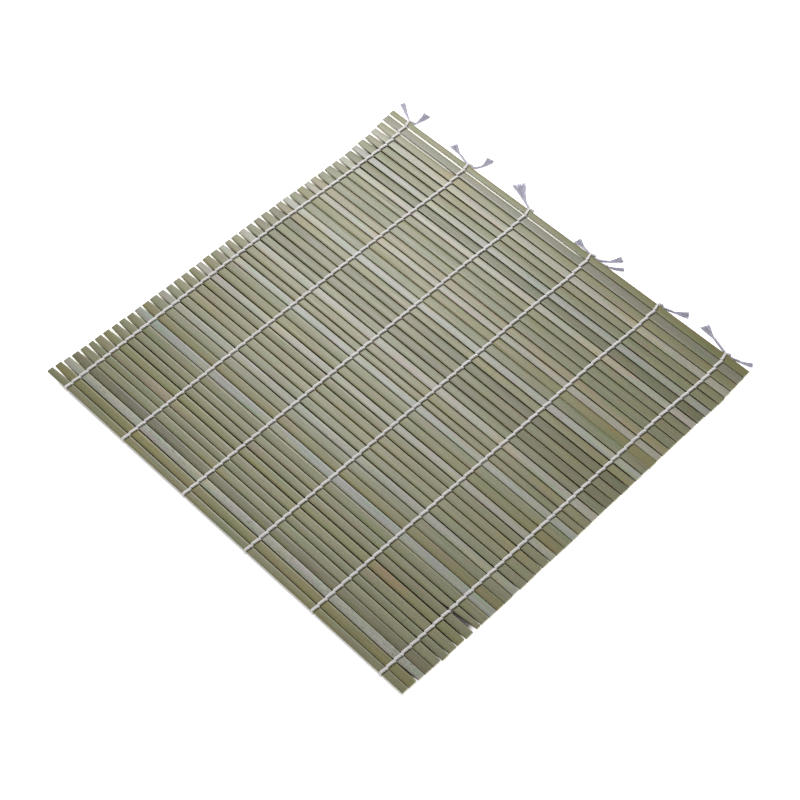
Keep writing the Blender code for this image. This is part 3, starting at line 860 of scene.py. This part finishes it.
def tassel_tree():
    """Twine for the knot and the tails' stems, and loose yarns fanned out where a tail is frayed."""
    tree, given = new_tree("Frayed knot", (
        ("Radius", "Float", 0.42 * MM),
        ("Lay", "Float", 3.4 * MM),
        ("Groove", "Float", 0.26),
        ("Step", "Float", 0.3 * MM),
        ("Fibres", "Int", 44),
        ("Fibre Radius", "Float", 0.055 * MM),
        ("Material", "Material", None),
    ))
    size = given.outputs
    frayed = add(tree, "GeometryNodeInputNamedAttribute", {"Name": "frayed"}, data_type="FLOAT")
    is_frayed = add(tree, "ShaderNodeMath", {0: frayed, 1: 0.5}, operation="GREATER_THAN")
    parts = add(tree, "GeometryNodeSeparateGeometry", {"Geometry": size["Geometry"], "Selection": is_frayed},
                domain="POINT")
    twine = add(tree, "GeometryNodeGroup", {
        "Geometry": parts.outputs["Inverted"], "Radius": size["Radius"], "Flatten": 1.0, "Lay": size["Lay"],
        "Groove": size["Groove"], "Step": size["Step"],
    }, node_tree=bpy.data.node_groups["Laid twine"])

    line = add(tree, "GeometryNodeMeshToCurve", {"Mesh": parts.outputs["Selection"]})
    line = add(tree, "GeometryNodeCurveSplineType", {"Curve": line}, spline_type="CATMULL_ROM")
    line = add(tree, "GeometryNodeResampleCurve", {"Curve": line, "Count": 12}, mode="COUNT")
    copies = add(tree, "GeometryNodeDuplicateElements", {
        "Geometry": line, "Amount": size["Fibres"],
    }, domain="SPLINE")
    line = add(tree, "GeometryNodeStoreNamedAttribute", {
        "Geometry": copies.outputs["Geometry"], "Name": "fibre", "Value": add(tree, "GeometryNodeInputIndex"),
    }, data_type="FLOAT", domain="CURVE")
    fibre = add(tree, "GeometryNodeInputNamedAttribute", {"Name": "fibre"}, data_type="FLOAT")
    across = add(tree, "FunctionNodeRandomValue", {2: -1.0, 3: 1.0, "ID": fibre, "Seed": 1})
    upward = add(tree, "FunctionNodeRandomValue", {2: 0.0, 3: 1.0, "ID": fibre, "Seed": 2})
    t = add(tree, "GeometryNodeSplineParameter").outputs["Factor"]
    spread = add(tree, "GeometryNodeInputNamedAttribute", {"Name": "spread"}, data_type="FLOAT")
    fan = add(tree, "ShaderNodeMath", {0: t, 1: 1.3}, operation="POWER")
    wide = add(tree, "ShaderNodeMath", {0: fan, 1: spread, 2: 0.25 * MM}, operation="MULTIPLY_ADD")
    along = add(tree, "GeometryNodeInputTangent")
    side = add(tree, "ShaderNodeVectorMath", {0: along, 1: (0.0, 0.0, 1.0)}, operation="CROSS_PRODUCT")
    side = add(tree, "ShaderNodeVectorMath", {0: side}, operation="NORMALIZE")
    by = add(tree, "ShaderNodeMath", {0: across, 1: wide}, operation="MULTIPLY")
    sideways = add(tree, "ShaderNodeVectorMath", {0: side, "Scale": by}, operation="SCALE")
    middle = add(tree, "GeometryNodeInputPosition")
    noise_at = add(tree, "ShaderNodeVectorMath", {0: middle, "Scale": 420.0}, operation="SCALE")
    wiggle = add(tree, "ShaderNodeTexNoise", {
        "Vector": noise_at, "W": fibre, "Scale": 1.0,
    }, noise_dimensions="4D").outputs["Color"]
    wiggle = add(tree, "ShaderNodeVectorMath", {0: wiggle, 1: (0.5, 0.5, 0.5)}, operation="SUBTRACT")
    wiggle_by = add(tree, "ShaderNodeMath", {0: t, 1: 1.6 * MM}, operation="MULTIPLY")
    wiggle = add(tree, "ShaderNodeVectorMath", {0: wiggle, "Scale": wiggle_by}, operation="SCALE")
    moved = add(tree, "ShaderNodeVectorMath", {0: sideways, 1: wiggle}, operation="ADD")
    moved = add(tree, "ShaderNodeVectorMath", {0: moved, 1: middle}, operation="ADD")
    flat = add(tree, "ShaderNodeSeparateXYZ", {0: moved}).outputs
    rise = add(tree, "ShaderNodeMath", {0: upward, 1: 0.9 * MM, 2: 0.08 * MM}, operation="MULTIPLY_ADD")
    moved = add(tree, "ShaderNodeCombineXYZ", {"X": flat["X"], "Y": flat["Y"], "Z": rise})
    line = add(tree, "GeometryNodeSetPosition", {"Geometry": line, "Position": moved})
    reach = add(tree, "FunctionNodeRandomValue", {2: 0.80, 3: 1.0, "ID": fibre, "Seed": 3})
    line = add(tree, "GeometryNodeTrimCurve", {0: line, "End": reach}, mode="FACTOR")
    ring = add(tree, "GeometryNodeCurvePrimitiveCircle", {"Resolution": 4, "Radius": size["Fibre Radius"]})
    fray = add(tree, "GeometryNodeCurveToMesh", {"Curve": line, "Profile Curve": ring, "Fill Caps": True})

    mesh = add(tree, "GeometryNodeJoinGeometry", {0: fray})
    tree.links.new(twine.outputs[0], mesh.inputs[0])
    mesh = add(tree, "GeometryNodeRealizeInstances", {"Geometry": mesh})
    mesh = add(tree, "GeometryNodeSetMaterial", {"Geometry": mesh, "Material": size["Material"]})
    add(tree, "NodeGroupOutput", {"Geometry": mesh})
    return tree


KNOT_REACH = Vector((0.92, 0.62, 0.62)) * MM  # how far the knot's line goes from its middle
KNOT_OUT = 1.35 * MM  # the knot's middle beyond the mat's edge
KNOT_HEIGHT = 1.45 * MM  # the knot's middle above the floor


def knot_points(x, edge):
    """A small overhand knot, which is a trefoil, against the first slat's edge."""
    points = []
    steps = 36
    for place in range(steps + 1):
        t = 2 * math.pi * place / steps
        points.append((
            x + (math.sin(t) + 2 * math.sin(2 * t)) / 3 * KNOT_REACH.x,
            edge + KNOT_OUT + (math.cos(t) - 2 * math.cos(2 * t)) / 3 * KNOT_REACH.y,
            KNOT_HEIGHT - math.sin(3 * t) * KNOT_REACH.z,
        ))
    return points


def tail_points(tail, x, edge, stem_radius):
    """The tail's stem and its frayed stretch, as two lists of points on the surface."""
    start = Vector((x + math.copysign(0.9 * MM, tail.bend_x), edge + 1.0 * MM))
    bend = Vector((x + tail.bend_x * MM, edge + tail.bend_y * MM))
    tip = Vector((x + tail.tip_x * MM, edge + tail.tip_y * MM))
    curve = []
    steps = 14
    for place in range(steps + 1):
        t = place / steps
        point = start * (1 - t) ** 2 + bend * 2 * t * (1 - t) + tip * t**2
        curve.append((point.x, point.y, stem_radius * (1.35 - 0.3 * t)))
    split = round(steps * tail.stem)
    return curve[:split + 1], curve[split:]


class RollingMatTassels(bpy.types.Operator):
    """Makes the knots at the first slat and their frayed tails"""

    bl_idname = "rolling_mat.tassels"
    bl_label = "Make the knots and tails"

    def execute(self, context):
        settings = context.scene.mat_tassels
        twine = context.scene.mat_twine
        tree = tassel_tree()
        # The darker cotton of the knots and tails is painted shade
        finish = cotton_material("loose_cotton_yarn_painted_shade", settings.cotton)
        for number, node in enumerate(CORDS, 1):
            x_at = cord_line(node)
            edge = edges_at(SLATS[0], x_at(0.0))[0]
            x = x_at(edge)
            lines = [knot_points(x, edge)]
            kinds = [(settings.knot_radius / settings.stem_radius, 0.0, 0.0)]
            for tail in (row for row in TAILS if row.cord == number):
                stem, fray = tail_points(tail, x, edge, settings.stem_radius)
                lines += [stem, fray]
                kinds += [(1.0, 0.0, 0.0), (1.0, 1.0, tail.spread * MM)]
            values = {
                name: [kind[column] for line, kind in zip(lines, kinds) for _ in line]
                for column, name in enumerate(("squeeze", "frayed", "spread"))
            }
            source = lines_object(f"tassel_{number}_cotton", lines, values)
            piece = grown(source, tree, {
                "Radius": settings.stem_radius, "Groove": twine.groove, "Fibres": settings.fibres,
                "Fibre Radius": settings.fibre_radius, "Material": finish,
            })
            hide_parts(f"tassel_{number}")
            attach(piece, "root")
        return {"FINISHED"}


# Where the board's painted glow shows, in mm: an axis, where the glow starts and stops changing, its share
# before and after
PAINTED_GLOW_SIDES = (
    ("X", -115.5, -108.5, 1.0, 0.0),
    ("X", 117.0, 121.0, 0.0, 1.0),
    ("Y", -123.6, -122.4, 1.0, 0.0),
    ("Y", 110.2, 111.6, 0.0, 1.0),
)
# Under the far edge the painted glow grows over the first stretch, along Y, and fades over the second, along X
FAR_EDGE_Y = (99.0, 106.0)
FAR_EDGE_X = (10.0, 42.0)


def floor_material(glow):
    """Smooth white studio board, matt and faintly uneven, with a painted glow: it glows round the mat and is
    kept dark under it as painted shade, except at the mat's left end and along the far edge's left half, where
    the painted glow lights the floor seen through the open gaps."""
    made = bpy.data.materials.new("white_studio_board")
    made.use_nodes = True
    tree = made.node_tree
    shader = tree.nodes["Principled BSDF"]
    place = add(tree, "ShaderNodeTexCoord").outputs["Object"]
    mottle = add(tree, "ShaderNodeTexNoise", {"Vector": place, "Scale": 14.0})
    shade = blended(tree, mottle, (*linear("F8F8FA"), 1.0), (*linear("FBFBFC"), 1.0))
    in_mm = add(tree, "ShaderNodeVectorMath", {0: place, "Scale": 1000.0}, operation="SCALE")
    parts = add(tree, "ShaderNodeSeparateXYZ", {0: in_mm}).outputs
    lit = add(tree, "ShaderNodeMath", {
        0: ramp(tree, parts["Y"], *FAR_EDGE_Y, 0.0, 1.0), 1: ramp(tree, parts["X"], *FAR_EDGE_X, 1.0, 0.0),
    }, operation="MULTIPLY")
    for axis, *change in PAINTED_GLOW_SIDES:
        lit = add(tree, "ShaderNodeMath", {0: lit, 1: ramp(tree, parts[axis], *change)}, operation="MAXIMUM")
    painted_glow_by = add(tree, "ShaderNodeMath", {0: lit, 1: glow}, operation="MULTIPLY")
    tree.links.new(shade.outputs[2], shader.inputs["Base Color"])
    tree.links.new(painted_glow_by.outputs[0], shader.inputs["Emission Strength"])
    shader.inputs["Emission Color"].default_value = (1.0, 1.0, 1.0, 1.0)
    shader.inputs["Roughness"].default_value = 0.9
    return made


FLOOR_REACH = 3.0
LOOKED_AT = Vector((11.42, -15.37, 0.0)) * MM  # the middle of the picture


class RollingMatStudio(bpy.types.Operator):
    """Makes the pale floor, the soft lights and the camera"""

    bl_idname = "rolling_mat.studio"
    bl_label = "Make the studio"

    def execute(self, context):
        settings = context.scene.mat_studio
        scene = context.scene
        corners = [(FLOOR_REACH * x, FLOOR_REACH * y, 0) for x, y in ((-1, -1), (1, -1), (1, 1), (-1, 1))]
        data = bpy.data.meshes.new("floor")
        data.from_pydata(corners, [], [(0, 1, 2, 3)])
        floor = bpy.data.objects.new("floor", data)
        data.materials.append(floor_material(settings.painted_floor_glow))
        scene.collection.objects.link(floor)

        world = bpy.data.worlds.new("studio")
        world.use_nodes = True
        sky = world.node_tree.nodes["Background"]
        sky.inputs["Color"].default_value = (*linear("F4F3FF"), 1.0)
        sky.inputs["Strength"].default_value = settings.sky
        scene.world = world

        for name, power, size, place in (
            ("key", settings.key_power, 0.26, (-0.54, 0.48, 0.90)),
            ("window", settings.window_power, 0.24, (-0.33, 0.33, 0.36)),
            ("fill", settings.fill_power, 0.50, (0.66, -0.62, 0.34)),
        ):
            light = bpy.data.lights.new(name, "AREA")
            light.shape = "DISK"
            light.size = size
            light.energy = power
            lamp = bpy.data.objects.new(name, light)
            scene.collection.objects.link(lamp)
            lamp.location = place
            lamp.rotation_mode = "QUATERNION"
            lamp.rotation_quaternion = (-lamp.location).to_track_quat("-Z", "Y")

        lens = bpy.data.cameras.new("camera")
        lens.lens = settings.lens
        lens.sensor_width = 36.0
        lens.clip_start, lens.clip_end = 0.05, 20.0
        camera = bpy.data.objects.new("camera", lens)
        scene.collection.objects.link(camera)
        flat = math.cos(settings.elevation)
        back = Vector((
            math.sin(settings.azimuth) * flat, -math.cos(settings.azimuth) * flat,
            math.sin(settings.elevation),
        ))
        camera.location = LOOKED_AT + back * settings.distance
        camera.rotation_mode = "QUATERNION"
        camera.rotation_quaternion = (-back).to_track_quat("-Z", "Y") @ Quaternion((0, 0, 1), settings.tilt)
        scene.camera = camera
        scene.view_settings.view_transform = "Standard"
        return {"FINISHED"}


class RollingMatPanel(bpy.types.Panel):
    """Lists the mat's operators and settings"""

    bl_idname = "VIEW3D_PT_rolling_mat"
    bl_label = "Rolling mat"
    bl_space_type = "VIEW_3D"
    bl_region_type = "UI"
    bl_category = "Rolling mat"

    def draw(self, context):
        for operator, settings in STEPS:
            self.layout.operator(operator.bl_idname)
            group = getattr(context.scene, settings)
            for name in group.__annotations__:
                self.layout.prop(group, name)


STEPS = (
    (RollingMatSlats, "mat_slats"),
    (RollingMatCords, "mat_twine"),
    (RollingMatTassels, "mat_tassels"),
    (RollingMatStudio, "mat_studio"),
)
GROUPS = {
    "mat_slats": SlatSettings,
    "mat_twine": TwineSettings,
    "mat_tassels": TasselSettings,
    "mat_studio": StudioSettings,
}


def register():
    for name, group in GROUPS.items():
        bpy.utils.register_class(group)
        setattr(bpy.types.Scene, name, bpy.props.PointerProperty(type=group))
    for operator, _ in STEPS:
        bpy.utils.register_class(operator)
    bpy.utils.register_class(RollingMatPanel)


def unregister():
    bpy.utils.unregister_class(RollingMatPanel)
    for operator, _ in reversed(STEPS):
        bpy.utils.unregister_class(operator)
    for name, group in reversed(GROUPS.items()):
        delattr(bpy.types.Scene, name)
        bpy.utils.unregister_class(group)


def main():
    register()
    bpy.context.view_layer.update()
    bpy.ops.rolling_mat.slats()
    bpy.ops.rolling_mat.cords()
    bpy.ops.rolling_mat.tassels()
    bpy.ops.rolling_mat.studio()


if __name__ == "__main__":
    main()
